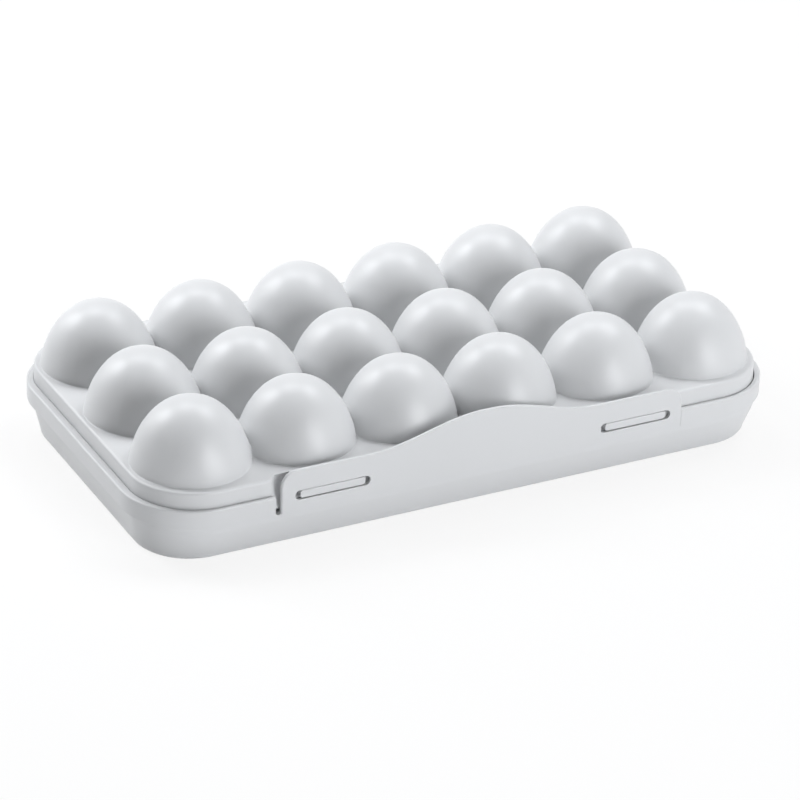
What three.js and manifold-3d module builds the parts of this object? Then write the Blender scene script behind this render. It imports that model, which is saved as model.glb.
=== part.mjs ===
import * as THREE from 'three';
import { mergeVertices } from 'three/addons/utils/BufferGeometryUtils.js';
import Module from 'manifold-3d';

// Storage box for eggs: a tapered base with an upright rim, a lift-out tray of egg cups, a domed
// lid on two clip hinges at the back, and a springy front tongue that snaps over two lid ribs.
// Millimetres, +Z up, X along the columns, -Y at the tongue, origin centred under the base.

// Egg grid
const columns = 6;
const rows = 3;
const pitch = 50;

// Walls and running gaps
const baseWall = 1.8;
const lidWall = 1.6;
const trayWall = 1.5;
const seatGap = 0.3;
const seamGap = 0.5;
const overrun = 2;

// Base: an upright rim band over a tapered body, flush with it along the two long sides
const rimHeight = 27.7;
const rimBand = 9;
const rimLandAtEnds = 3.6;
const rimLandAtSides = 1.6;
const rimCorner = 33.2;
const rimEdgeRadius = 0.9;
const endOverhang = 2.9;
const bodyCorner = 31;
const endTaper = 3;
const sideTaper = 6.7;
const taperBlend = 3.7;
const footFillet = 3;

// Lid: a raised deck that drops inside the rim, with one hollow dome for each egg
const lidEndMargin = 29;
const lidSideMargin = 31;
const lidCorner = 29.6;
const lidDraft = 0.6;
const deckRise = 7.5;
const deckEdgeRadius = 1.2;
const hollowEdgeRadius = 0.4;
const domeSink = 0.8;
const domeRadius = 26.3;
const domeHeight = 29.5;
const domeRisePower = 1.5;
const domeGirthPower = 2.27;

// Tray of egg cups
const cupRadius = 21.5;
const cupPadRadius = 7;

// Snap tongue: its root is moulded to the front of the base, a little right of the middle, with
// an open relief slit at its left end and a tight seam at its right end
const tongueShift = 2;
const tongueHalfLength = 99.6;
const tongueRise = 11.9;
const tongueCorner = 7.8;
const humpRise = 9.2;
const humpFlatHalf = 10;
const humpRun = 40;
const slitWidth = 2.5;
const slotInset = 6.3;
const slotLength = 36;
const slotHeight = 4.5;
const slotRise = 7.5;
const ribPlay = 0.4;
const ribEndPlay = 3;
const ribSetback = 0.3;
const ribRamp = 1.2;
const recessDepth = 3;
const recessEndGap = 3.6;

// Clip hinges: a hook on the lid turns on a pin between two ears of the base
const hingePlace = 85;
const hingeReach = 3.4;
const hingeDrop = 0.7;
const hookRadius = 3.1;
const hookWidth = 14;
const hookMouth = 2.7;
const hookArmLift = 0.6;
const pinRadius = 1.6;
const pinPlay = 0.3;
const earWidth = 3;
const earGap = 0.5;
const earDrop = 7;

// Facets
const cornerSteps = 7;
const domeSides = 20;
const domeSteps = 6;
const domeHollowSides = 12;
const domeHollowSteps = 4;
const cupSides = 16;
const cupUndersideSides = 14;
const cupSteps = 3;
const roundSteps = 3;
const pinSides = 16;

const wasm = await Module();
wasm.setup();

const gridHalfLength = ((columns - 1) / 2) * pitch;
const gridHalfDepth = ((rows - 1) / 2) * pitch;
const rimBottom = rimHeight - rimBand;
const deckHeight = rimHeight + deckRise;

// Outlines are rounded rectangles: the lid's wall at the seam, and the base worked out from it
const lidOutline = {
  halfLength: gridHalfLength + lidEndMargin,
  halfDepth: gridHalfDepth + lidSideMargin,
  corner: lidCorner,
};
const rimInside = grow(lidOutline, seamGap);
const rimOutline = {
  halfLength: rimInside.halfLength + rimLandAtEnds,
  halfDepth: rimInside.halfDepth + rimLandAtSides,
  corner: rimCorner,
};
const bodyTop = {
  halfLength: rimOutline.halfLength - endOverhang,
  halfDepth: rimOutline.halfDepth,
  corner: bodyCorner,
};
const bodyFoot = {
  halfLength: bodyTop.halfLength - endTaper,
  halfDepth: bodyTop.halfDepth - sideTaper,
  corner: bodyCorner - (endTaper + sideTaper) / 2,
};

function grow({ halfLength, halfDepth, corner }, by) {
  return { halfLength: halfLength + by, halfDepth: halfDepth + by, corner: corner + by };
}

function between(low, high, share) {
  const mix = (key) => low[key] + (high[key] - low[key]) * share;
  return { halfLength: mix('halfLength'), halfDepth: mix('halfDepth'), corner: mix('corner') };
}

function outlinePoints({ halfLength, halfDepth, corner }) {
  const points = [];
  for (let quarter = 0; quarter < 4; quarter++) {
    const sideX = quarter === 0 || quarter === 3 ? 1 : -1;
    const sideY = quarter < 2 ? 1 : -1;
    for (let step = 0; step <= cornerSteps; step++) {
      const angle = ((quarter + step / cornerSteps) * Math.PI) / 2;
      const x = sideX * (halfLength - corner) + corner * Math.cos(angle);
      const y = sideY * (halfDepth - corner) + corner * Math.sin(angle);
      points.push([x, y]);
    }
  }
  return points;
}

// A closed body through outlines stacked from the bottom up
function loft(levels) {
  const rings = levels.map(({ z, outline }) => outlinePoints(outline).map(([x, y]) => [x, y, z]));
  const count = rings[0].length;
  const positions = rings.flat(2);
  const bottom = rings.length * count;
  const top = bottom + 1;
  positions.push(0, 0, levels[0].z, 0, 0, levels.at(-1).z);
  const index = [];
  for (let i = 0; i < count; i++) {
    const next = (i + 1) % count;
    index.push(bottom, next, i);
    for (let ring = 0; ring < rings.length - 1; ring++) {
      const low = ring * count;
      const high = low + count;
      index.push(low + i, low + next, high + next, low + i, high + next, high + i);
    }
    const last = bottom - count;
    index.push(top, last + i, last + next);
  }
  const geometry = new THREE.BufferGeometry();
  geometry.setAttribute('position', new THREE.Float32BufferAttribute(positions, 3));
  geometry.setIndex(index);
  return solid(geometry);
}

// A quarter round of a loft from one outline inwards, rising (turn 1) or falling (turn -1)
function roundedEdge(outline, z, radius, turn) {
  const levels = [];
  for (let step = 0; step <= roundSteps; step++) {
    const angle = (step / roundSteps) * (Math.PI / 2);
    const inset = radius * (1 - Math.cos(angle));
    levels.push({ z: z + turn * radius * Math.sin(angle), outline: grow(outline, -inset) });
  }
  return turn > 0 ? levels : levels.reverse();
}

// Drops what only shading needs, joins shared vertices and hands the mesh over for cutting
function solid(geometry) {
  const bare = geometry.clone();
  bare.deleteAttribute('normal');
  bare.deleteAttribute('uv');
  const merged = mergeVertices(bare);
  const index = merged.index.array;
  const triangles = [];
  for (let i = 0; i < index.length; i += 3) {
    const [a, b, c] = index.slice(i, i + 3);
    if (a !== b && b !== c && c !== a) triangles.push(a, b, c);
  }
  return new wasm.Manifold(new wasm.Mesh({
    numProp: 3,
    vertProperties: Float32Array.from(merged.attributes.position.array),
    triVerts: Uint32Array.from(triangles),
  }));
}

function block([x0, x1], [y0, y1], [z0, z1]) {
  const geometry = new THREE.BoxGeometry(x1 - x0, y1 - y0, z1 - z0);
  return solid(geometry.translate((x0 + x1) / 2, (y0 + y1) / 2, (z0 + z1) / 2));
}

function rodAlongX([x0, x1], y, z, radius) {
  const geometry = new THREE.CylinderGeometry(radius, radius, x1 - x0, pinSides);
  return solid(geometry.rotateZ(Math.PI / 2).translate((x0 + x1) / 2, y, z));
}

function rodAlongY(x, [y0, y1], z, radius) {
  const geometry = new THREE.CylinderGeometry(radius, radius, y1 - y0, pinSides);
  return solid(geometry.translate(x, (y0 + y1) / 2, z));
}

// A profile drawn as (y, z), run from one x to another
function extrudeAlongX(shape, [x0, x1]) {
  const geometry = new THREE.ExtrudeGeometry(shape, {
    depth: x1 - x0, bevelEnabled: false, curveSegments: pinSides,
  });
  const turn = new THREE.Matrix4().makeBasis(
    new THREE.Vector3(0, 1, 0), new THREE.Vector3(0, 0, 1), new THREE.Vector3(1, 0, 0),
  );
  return solid(geometry.applyMatrix4(turn).translate(x0, 0, 0));
}

// A revolved body that stands on the grid, drawn as (radius, height) from the bottom up
function revolve(profile, sides) {
  const points = profile.map(([radius, height]) => new THREE.Vector2(radius, height));
  return solid(new THREE.LatheGeometry(points, sides).rotateX(Math.PI / 2));
}

function onGrid(body) {
  const copies = [];
  for (let row = 0; row < rows; row++) {
    for (let column = 0; column < columns; column++) {
      const x = column * pitch - gridHalfLength;
      const y = row * pitch - gridHalfDepth;
      copies.push(body.translate([x, y, 0]));
    }
  }
  return join(copies);
}

function join(bodies) {
  return bodies.reduce((sum, body) => sum.add(body));
}

function onBothSides(make) {
  return join([-1, 1].map((side) => make(side)));
}

function part(name, body, material) {
  const { vertProperties, triVerts } = body.getMesh();
  const geometry = new THREE.BufferGeometry();
  geometry.setAttribute('position', new THREE.Float32BufferAttribute(vertProperties, 3));
  geometry.setIndex(Array.from(triVerts));
  geometry.computeVertexNormals();
  const mesh = new THREE.Mesh(geometry, material);
  mesh.name = name;
  return mesh;
}

// Places that the base, the lid and the tongue share
const front = -rimOutline.halfDepth;
const rimInsideFront = -rimInside.halfDepth;
const tongueLeft = tongueShift - tongueHalfLength;
const tongueRight = tongueShift + tongueHalfLength;
const slotReach = tongueHalfLength - slotInset - slotLength / 2;
const slotHeightMiddle = rimBottom + slotRise;
const recessFront = rimInsideFront + recessDepth;
const hingeAxisY = rimOutline.halfDepth + hingeReach;
const hingeAxisZ = rimHeight - hingeDrop;
const pinHalfSpan = hookWidth / 2 + earGap;

function bodyLevels(inset, floor) {
  const foot = grow(bodyFoot, -inset);
  const top = grow(bodyTop, -inset);
  const wallFoot = footFillet;
  const blendFrom = rimBottom - taperBlend;
  const blendShare = (blendFrom - wallFoot) / (rimBottom - wallFoot);
  const flare = between(foot, top, blendShare);
  const flareLift = (sideTaper * taperBlend) / (rimBottom - wallFoot) / 2;
  flare.halfDepth += flareLift;
  return [
    ...roundedEdge(foot, wallFoot, footFillet - floor, -1),
    { z: blendFrom, outline: flare },
    { z: rimBottom, outline: top },
  ];
}

function hingeEars(side) {
  const middle = side * hingePlace;
  const earRadius = hookRadius;
  const wallMiddle = rimOutline.halfDepth - rimLandAtSides / 2;
  const profile = new THREE.Shape();
  profile.moveTo(wallMiddle, hingeAxisZ - earDrop);
  profile.lineTo(hingeAxisY, hingeAxisZ - earRadius);
  profile.absarc(hingeAxisY, hingeAxisZ, earRadius, -Math.PI / 2, Math.PI / 2, false);
  profile.lineTo(wallMiddle, rimHeight - rimEdgeRadius);
  const ears = onBothSides((end) => {
    const inner = middle + end * pinHalfSpan;
    const outer = inner + end * earWidth;
    return extrudeAlongX(profile, [Math.min(inner, outer), Math.max(inner, outer)]);
  });
  const pinEnds = pinHalfSpan + earWidth / 2;
  const pin = rodAlongX([middle - pinEnds, middle + pinEnds], hingeAxisY, hingeAxisZ, pinRadius);
  return ears.add(pin);
}

// The gap in the front wall that the tongue closes, with the round-bottomed slit at its left end
function latchGap() {
  const across = [front - overrun, rimInsideFront + overrun];
  const above = rimHeight + overrun;
  const slitRadius = slitWidth / 2;
  const slitMiddle = tongueLeft - slitRadius;
  const slitBottom = rimBottom + slitRadius;
  const gap = block([tongueLeft, tongueRight + seatGap], across, [rimBottom, above]);
  const slit = block([tongueLeft - slitWidth, tongueLeft], across, [slitBottom, above]);
  return gap.add(slit).add(rodAlongY(slitMiddle, across, slitBottom, slitRadius));
}

function makeBase() {
  const shell = loft([
    ...bodyLevels(0, 0),
    { z: rimBottom + seatGap, outline: grow(bodyTop, -baseWall / 2) },
  ]);
  const band = loft([
    { z: rimBottom, outline: rimOutline },
    ...roundedEdge(rimOutline, rimHeight - rimEdgeRadius, rimEdgeRadius, 1),
  ]);
  const cavity = loft([
    ...bodyLevels(baseWall, baseWall),
    { z: rimBottom + seatGap, outline: grow(bodyTop, -baseWall) },
  ]);
  const mouth = loft([
    { z: rimBottom, outline: rimInside },
    { z: rimHeight + overrun, outline: rimInside },
  ]);
  return shell.add(band).subtract(cavity).subtract(mouth)
    .subtract(latchGap())
    .add(onBothSides(hingeEars));
}

function cupProfile(wall, rim) {
  const profile = [];
  const bottom = baseWall + seatGap + trayWall;
  const depth = rimBottom + seatGap + trayWall - bottom;
  for (let step = 0; step <= cupSteps; step++) {
    const angle = (1 - step / cupSteps) * (Math.PI / 2);
    const radius = cupPadRadius + (cupRadius - cupPadRadius) * Math.cos(angle);
    const height = bottom + depth * (1 - Math.sin(angle));
    const lean = angle / (Math.PI / 2);
    profile.push([radius + wall * (1 - lean), height - wall * lean]);
  }
  const lowest = profile[0][1];
  return [[0, lowest], ...profile, [profile.at(-1)[0], rim], [0, rim]];
}

// Flange on the ledge under the rim, with a bowl for each egg that stands on the base's floor
function makeTray() {
  const flangeBottom = rimBottom + seatGap;
  const flangeTop = flangeBottom + trayWall;
  const flangeOutline = grow(rimInside, -seamGap);
  const flange = loft([
    { z: flangeBottom, outline: flangeOutline },
    { z: flangeTop, outline: flangeOutline },
  ]);
  const bowls = onGrid(
    revolve(cupProfile(trayWall, flangeTop - trayWall / 2), cupUndersideSides),
  );
  const hollows = onGrid(revolve(cupProfile(0, flangeTop + overrun), cupSides));
  return flange.add(bowls).subtract(hollows);
}

// Egg-shaped cap that stands on the deck, upright at its foot and blunt at its tip
function domeProfile(radius, height, sink, steps) {
  const profile = [[0, deckHeight - sink], [radius, deckHeight - sink]];
  for (let step = 0; step <= steps; step++) {
    const angle = (step / steps) * (Math.PI / 2);
    const r = step < steps ? radius * Math.cos(angle) ** (2 / domeGirthPower) : 0;
    profile.push([r, deckHeight + height * Math.sin(angle) ** (2 / domeRisePower)]);
  }
  return profile;
}

// The lid's drafted wall and flat deck, with a small round between them
function deckLoft(inset, bottom, top, radius) {
  return loft([
    { z: bottom, outline: grow(lidOutline, seatGap - inset) },
    ...roundedEdge(grow(lidOutline, seatGap - lidDraft - inset), top - radius, radius, 1),
  ]);
}

// Two ribs on the lid's front wall reach into the tongue's slots, ramped below to ride over it
function catchRib(side) {
  const middle = tongueShift + side * slotReach;
  const halfLength = slotLength / 2 - ribEndPlay;
  const halfHeight = slotHeight / 2 - ribPlay;
  const tip = front + ribSetback;
  const root = recessFront + lidWall / 2;
  const profile = new THREE.Shape();
  profile.moveTo(root, slotHeightMiddle - halfHeight);
  profile.lineTo(root, slotHeightMiddle + halfHeight);
  profile.lineTo(tip, slotHeightMiddle + halfHeight);
  profile.lineTo(tip, slotHeightMiddle - halfHeight + ribRamp);
  profile.lineTo(tip + ribRamp, slotHeightMiddle - halfHeight);
  return extrudeAlongX(profile, [middle - halfLength, middle + halfLength]);
}

function hingeHook(side) {
  const span = [side * hingePlace - hookWidth / 2, side * hingePlace + hookWidth / 2];
  const armRoot = lidOutline.halfDepth - lidWall / 2;
  const barrel = rodAlongX(span, hingeAxisY, hingeAxisZ, hookRadius);
  const arm = block(span, [armRoot, hingeAxisY], [rimHeight + hookArmLift, hingeAxisZ + hookRadius]);
  const wide = [span[0] - overrun, span[1] + overrun];
  const bore = rodAlongX(wide, hingeAxisY, hingeAxisZ, pinRadius + pinPlay);
  const mouth = block(
    wide,
    [hingeAxisY - hookMouth / 2, hingeAxisY + hookMouth / 2],
    [hingeAxisZ - hookRadius - overrun, hingeAxisZ],
  );
  return barrel.add(arm).subtract(bore).subtract(mouth);
}

function makeLid() {
  const skirtBottom = rimBottom + seatGap + trayWall + seatGap;
  const recessSpan = [tongueLeft - recessEndGap, tongueRight + seamGap];
  const below = skirtBottom - overrun;
  const above = deckHeight + overrun;
  const beyond = front - overrun;
  const recess = block(recessSpan, [beyond, recessFront], [below, above]);
  const recessInside = block(
    [recessSpan[0] - lidWall, recessSpan[1] + lidWall],
    [beyond, recessFront + lidWall],
    [below - overrun, above],
  );
  const domes = onGrid(
    revolve(domeProfile(domeRadius, domeHeight, domeSink, domeSteps), domeSides),
  );
  const hollowRadius = domeRadius - lidWall;
  const hollowHeight = domeHeight - lidWall;
  const hollows = onGrid(revolve(
    domeProfile(hollowRadius, hollowHeight, lidWall + overrun, domeHollowSteps), domeHollowSides,
  ));
  const outside = deckLoft(0, skirtBottom, deckHeight, deckEdgeRadius)
    .subtract(recess)
    .add(domes);
  const inside = deckLoft(lidWall, skirtBottom - overrun, deckHeight - lidWall, hollowEdgeRadius)
    .subtract(recessInside)
    .add(hollows);
  return outside.subtract(inside).add(onBothSides(catchRib)).add(onBothSides(hingeHook));
}

// Height of the tongue's top edge above its ends: a grip in the middle that runs out both ways
function humpHeight(x) {
  const run = Math.min(Math.max((Math.abs(x) - humpFlatHalf) / humpRun, 0), 1);
  return (humpRise * (1 + Math.cos(run * Math.PI))) / 2;
}

function roundedSlot(side) {
  const middle = side * slotReach;
  const radius = slotHeight / 2;
  const reach = slotLength / 2 - radius;
  const hole = new THREE.Path();
  hole.absarc(middle + reach, slotHeightMiddle, radius, -Math.PI / 2, Math.PI / 2, false);
  hole.absarc(middle - reach, slotHeightMiddle, radius, Math.PI / 2, (3 * Math.PI) / 2, false);
  return hole;
}

// Flat springy plate, drawn about its own middle as (x, z) and as thick as the rim's wall
function makeTongue() {
  const top = rimHeight + tongueRise;
  const humpEnd = humpFlatHalf + humpRun;
  const humpPoints = 12;
  const cornerX = tongueHalfLength - tongueCorner;
  const cornerZ = top - tongueCorner;
  const face = new THREE.Shape();
  face.moveTo(-tongueHalfLength, rimBottom);
  face.lineTo(tongueHalfLength, rimBottom);
  face.absarc(cornerX, cornerZ, tongueCorner, 0, Math.PI / 2, false);
  for (let i = 0; i <= humpPoints; i++) {
    const x = humpEnd * (1 - (2 * i) / humpPoints);
    face.lineTo(x, top + humpHeight(x));
  }
  face.absarc(-cornerX, cornerZ, tongueCorner, Math.PI / 2, Math.PI, false);
  face.holes.push(roundedSlot(-1), roundedSlot(1));
  const plate = new THREE.ExtrudeGeometry(face, {
    depth: rimLandAtSides, bevelEnabled: false, curveSegments: roundSteps * 2,
  });
  return solid(plate.rotateX(Math.PI / 2).translate(tongueShift, rimInsideFront, 0));
}

function plastic(name, color, roughness) {
  return new THREE.MeshStandardMaterial({ name, color, roughness, metalness: 0 });
}

const satinGrey = plastic('satin_grey', 0xc9ced4, 0.45);
const trayGrey = plastic('tray_grey', 0xd3d7dc, 0.5);

const box = new THREE.Group();
box.name = 'egg_storage_box';
box.add(
  part('base_tray', makeBase(), satinGrey),
  part('egg_cup_tray', makeTray(), trayGrey),
  part('domed_lid', makeLid(), satinGrey),
  part('latch_tongue', makeTongue(), satinGrey),
);

export default box;
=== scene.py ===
import itertools
import math
import bpy
import bmesh
import numpy as np
from mathutils import Matrix, Vector


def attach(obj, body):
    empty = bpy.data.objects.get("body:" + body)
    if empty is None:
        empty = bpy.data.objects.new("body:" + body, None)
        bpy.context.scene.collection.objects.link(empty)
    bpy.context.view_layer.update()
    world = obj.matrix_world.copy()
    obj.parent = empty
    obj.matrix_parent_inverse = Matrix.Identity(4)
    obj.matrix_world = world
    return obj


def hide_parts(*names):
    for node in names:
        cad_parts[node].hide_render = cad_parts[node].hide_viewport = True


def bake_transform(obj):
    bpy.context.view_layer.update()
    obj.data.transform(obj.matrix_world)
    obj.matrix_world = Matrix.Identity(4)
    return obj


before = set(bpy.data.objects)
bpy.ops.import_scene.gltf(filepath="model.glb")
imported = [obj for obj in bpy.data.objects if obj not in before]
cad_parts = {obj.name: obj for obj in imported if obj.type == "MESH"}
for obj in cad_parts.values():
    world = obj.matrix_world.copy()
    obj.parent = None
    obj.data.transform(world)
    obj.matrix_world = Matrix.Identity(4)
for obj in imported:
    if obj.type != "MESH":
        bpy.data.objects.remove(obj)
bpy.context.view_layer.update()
mm = 0.001
print("frame loaded:", ", ".join(sorted(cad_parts)))

# Sizes in mm. X runs along the columns, -Y to the tongue, and Z is zero under the base.
eggGrid = {"columns": 6, "rows": 3, "pitch": 50.0}
gaps = {"seat": 0.3, "seam": 0.5, "hairline": 0.06}
gridHalfLength = (eggGrid["columns"] - 1) / 2 * eggGrid["pitch"]
gridHalfDepth = (eggGrid["rows"] - 1) / 2 * eggGrid["pitch"]
# How the meshes are welded and shaded: mm and degrees
meshing = {
    "weld": 0.004, "tongueWeld": 0.002, "speck": 0.001,
    "sharpAngle": 38, "solidAngle": 35, "bevelSegments": 3,
}


def grow(outline, by):
    # A rounded rectangle (half length, half depth, corner radius) moved outwards all round
    return tuple(size + by for size in outline)


def quarter(steps):
    # Angles of a quarter turn, from 0 to a right angle
    return np.linspace(0, math.pi / 2, steps + 1)


def quarterRound(radius, steps):
    # A quarter round's points, as the radius times 1 less the cosine and 1 less the sine of each angle
    angle = quarter(steps)
    return radius * np.stack([1 - np.cos(angle), 1 - np.sin(angle)], -1)


def evenly(start, end, steps):
    # Even steps from start to end, without the start
    return np.linspace(start, end, steps + 1)[1:]


def gridFaces(rows, columns):
    # Quads between the rows of a grid of points, whose last column is joined to its first
    first = np.arange(columns)
    after = (first + 1) % columns
    low = np.arange(rows - 1)[:, None] * columns
    quads = np.stack([low + first, low + after, low + columns + after, low + columns + first], -1)
    return quads.reshape(-1, 4)


def together(parts):
    # Several (points, faces) in one, the faces counted on from the points before them
    points, faces, count = [], [], 0
    for somePoints, someFaces in parts:
        points.append(somePoints.reshape(-1, 3))
        faces.append(someFaces + count)
        count += len(points[-1])
    return np.concatenate(points), np.concatenate(faces)


def addObject(name, data):
    made = bpy.data.objects.new(name, data)
    bpy.context.scene.collection.objects.link(made)
    return made


def addPiece(name, mesh, material, sharpAngle):
    # A piece at the origin, smooth but for the edges sharper than the angle
    mesh.materials.append(material)
    mesh.shade_smooth()
    mesh.set_sharp_from_angle(angle=math.radians(sharpAngle))
    return addObject(name, mesh)


def keepFlat(piece, keepSharp):
    # Normals weighted by the faces' areas, so that flat faces are shaded flat up to their rounded edges
    weighted = piece.modifiers.new("flat faces stay flat", "WEIGHTED_NORMAL")
    weighted.keep_sharp = keepSharp


def carry(piece, body, node):
    # The piece rides on its body and stands for its CAD node
    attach(piece, body)
    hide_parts(node)


def makePiece(name, parts, material, body, node):
    # Millimetre points and quads become one welded mesh
    points, faces = together(parts)
    mesh = bpy.data.meshes.new(name)
    mesh.from_pydata((points * mm).tolist(), [], faces.tolist())
    bm = bmesh.new()
    bm.from_mesh(mesh)
    bmesh.ops.remove_doubles(bm, verts=bm.verts, dist=meshing["weld"] * mm)
    bmesh.ops.dissolve_degenerate(bm, edges=bm.edges, dist=meshing["speck"] * mm)
    bmesh.ops.recalc_face_normals(bm, faces=bm.faces)
    bm.to_mesh(mesh)
    bm.free()
    piece = addPiece(name, mesh, material, meshing["sharpAngle"])
    keepFlat(piece, True)
    carry(piece, body, node)
    print(name, "has", len(mesh.vertices), "points")


def solidPiece(name, solids, bevel, material, body, node):
    # Swept (y, z) profiles as closed solids in one mesh, their edges rounded
    bm = bmesh.new()
    for profile, x0, x1 in solids:
        points = np.array([np.column_stack([np.full(len(profile), x), profile]) for x in (x0, x1)]) * mm
        verts = [bm.verts.new(point) for point in points.reshape(-1, 3)]
        for face in gridFaces(2, len(profile)):
            bm.faces.new([verts[i] for i in face])
        bm.faces.new(verts[:len(profile)])
        bm.faces.new(verts[len(profile):][::-1])
    bmesh.ops.recalc_face_normals(bm, faces=bm.faces)
    mesh = bpy.data.meshes.new(name)
    bm.to_mesh(mesh)
    bm.free()
    piece = addPiece(name, mesh, material, meshing["solidAngle"])
    rounding = piece.modifiers.new("rounded edges", "BEVEL")
    rounding.width = bevel * mm
    rounding.segments = meshing["bevelSegments"]
    rounding.limit_method = "ANGLE"
    rounding.angle_limit = math.radians(meshing["solidAngle"])
    keepFlat(piece, False)
    carry(piece, body, node)
    print(name, "has", len(solids), "solids")


# A value, colour or shader in a node tree, with the operators that add its Math nodes
class Socket:
    def __init__(self, tree, link):
        self.tree = tree
        self.link = link

    def node(self, kind, inputs, output=0, **settings):
        # Any node: its settings first, then a value or a link for each named input
        made = self.tree.nodes.new(kind)
        for name, value in settings.items():
            setattr(made, name, value)
        for name, value in inputs.items():
            if isinstance(value, Socket):
                self.tree.links.new(value.link, made.inputs[name])
            else:
                made.inputs[name].default_value = value
        return Socket(self.tree, made.outputs[output])

    def maths(self, operation, a, b):
        return self.node("ShaderNodeMath", {0: a, 1: b}, operation=operation)

    def __add__(self, other):
        return self.maths("ADD", self, other)

    def __radd__(self, other):
        return self.maths("ADD", other, self)

    def __sub__(self, other):
        return self.maths("SUBTRACT", self, other)

    def __rsub__(self, other):
        return self.maths("SUBTRACT", other, self)

    def __mul__(self, other):
        return self.maths("MULTIPLY", self, other)

    def __rmul__(self, other):
        return self.maths("MULTIPLY", other, self)

    def noise(self, size, detail=2, roughness=0.5):
        # Noise whose features are about size metres wide, from 0 to 1
        inputs = {"Vector": self, "Scale": 1 / size, "Detail": detail, "Roughness": roughness}
        return self.node("ShaderNodeTexNoise", inputs)

    def between(self, low, high):
        # 0 below low, 1 above high and a smooth step between them
        inputs = {"Value": self, "From Min": low, "From Max": high}
        return self.node("ShaderNodeMapRange", inputs, interpolation_type="SMOOTHSTEP")

    def mix(self, first, second):
        # Two colours mixed by this value
        inputs = {"Factor": self, 6: first, 7: second}
        return self.node("ShaderNodeMix", inputs, output=2, data_type="RGBA")


def satinPlastic(name, finish):
    # Moulded polypropylene: satin, with a fine spark-eroded grain, faint flow clouds and a few rubs.
    # Clouds and grain are noise about its middle, and rubs are where their noise rises past a threshold.
    material = bpy.data.materials.new(name)
    material.use_nodes = True
    tree = material.node_tree
    shader = tree.nodes["Principled BSDF"]
    place = tree.nodes.new("ShaderNodeTexCoord")
    at = Socket(tree, place.outputs["Object"])
    clouds = at.noise(finish["cloudSize"])
    rubs = at.noise(finish["rubSize"], detail=3, roughness=0.6).between(finish["rubFrom"], finish["rubTo"])
    grain = at.noise(finish["grainSize"])
    colour = clouds.mix((*finish["darker"], 1), (*finish["colour"], 1))
    roughness = (
        finish["roughness"] + finish["cloudRoughness"] * (clouds - 0.5)
        + finish["rubRoughness"] * rubs + finish["grainRoughness"] * (grain - 0.5)
    )
    bump = at.node("ShaderNodeBump", {
        "Strength": finish["grainStrength"], "Distance": finish["grainDepth"], "Height": grain,
    })
    tree.links.new(colour.link, shader.inputs["Base Color"])
    tree.links.new(roughness.link, shader.inputs["Roughness"])
    tree.links.new(bump.link, shader.inputs["Normal"])
    shader.inputs["IOR"].default_value = finish["ior"]
    shader.inputs["Specular IOR Level"].default_value = finish["gloss"]
    return material


# Sizes and depths in metres, as the materials read them
greyFinish = {
    "colour": (0.633, 0.638, 0.643),
    "darker": (0.614, 0.619, 0.624),
    "roughness": 0.4,
    "gloss": 0.5,
    "ior": 1.49,
    "cloudSize": 0.09,
    "cloudRoughness": 0.06,
    "rubSize": 0.011,
    "rubFrom": 0.56,
    "rubTo": 0.72,
    "rubRoughness": -0.04,
    "grainSize": 0.00045,
    "grainRoughness": 0.05,
    "grainStrength": 0.25,
    "grainDepth": 0.00002,
}
greyPlastic = satinPlastic("satin grey plastic", greyFinish)
trayPlastic = satinPlastic("tray grey plastic", {
    **greyFinish,
    "colour": (0.669, 0.674, 0.679),
    "darker": (0.651, 0.656, 0.661),
    "roughness": 0.47,
})
print("plastics made")


# Sheets of cells, for the lid's domes and the tray's cups
sheet = {
    "rows": 3,  # rings between a cell's profile and its border
    "edgeSteps": 5,
    "cornerSteps": 4,
    "wallRows": 8,
    "searchReach": 3.0,  # first guess of a ray's length, in half pitches
    "halvings": 48,
    "roundUp": 0.37,  # added before the rays of a span are cut to a whole number
    "onBorder": 1e-4,
    "offOutline": 1e-3,
}


def roundedDistance(x, y, outline):
    # Signed distance to a rounded rectangle, below zero inside it
    halfLength, halfDepth, corner = outline
    pastX = np.abs(x) - (halfLength - corner)
    pastY = np.abs(y) - (halfDepth - corner)
    outside = np.hypot(np.maximum(pastX, 0), np.maximum(pastY, 0))
    return outside + np.minimum(np.maximum(pastX, pastY), 0) - corner


def outwardOf(x, y, outline):
    # Unit vector straight out of a rounded rectangle
    halfLength, halfDepth, corner = outline
    pastX = np.maximum(np.abs(x) - (halfLength - corner), 0)
    pastY = np.maximum(np.abs(y) - (halfDepth - corner), 0)
    length = np.maximum(np.hypot(pastX, pastY), 1e-9)
    return np.stack([np.sign(x) * pastX / length, np.sign(y) * pastY / length], -1)


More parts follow.
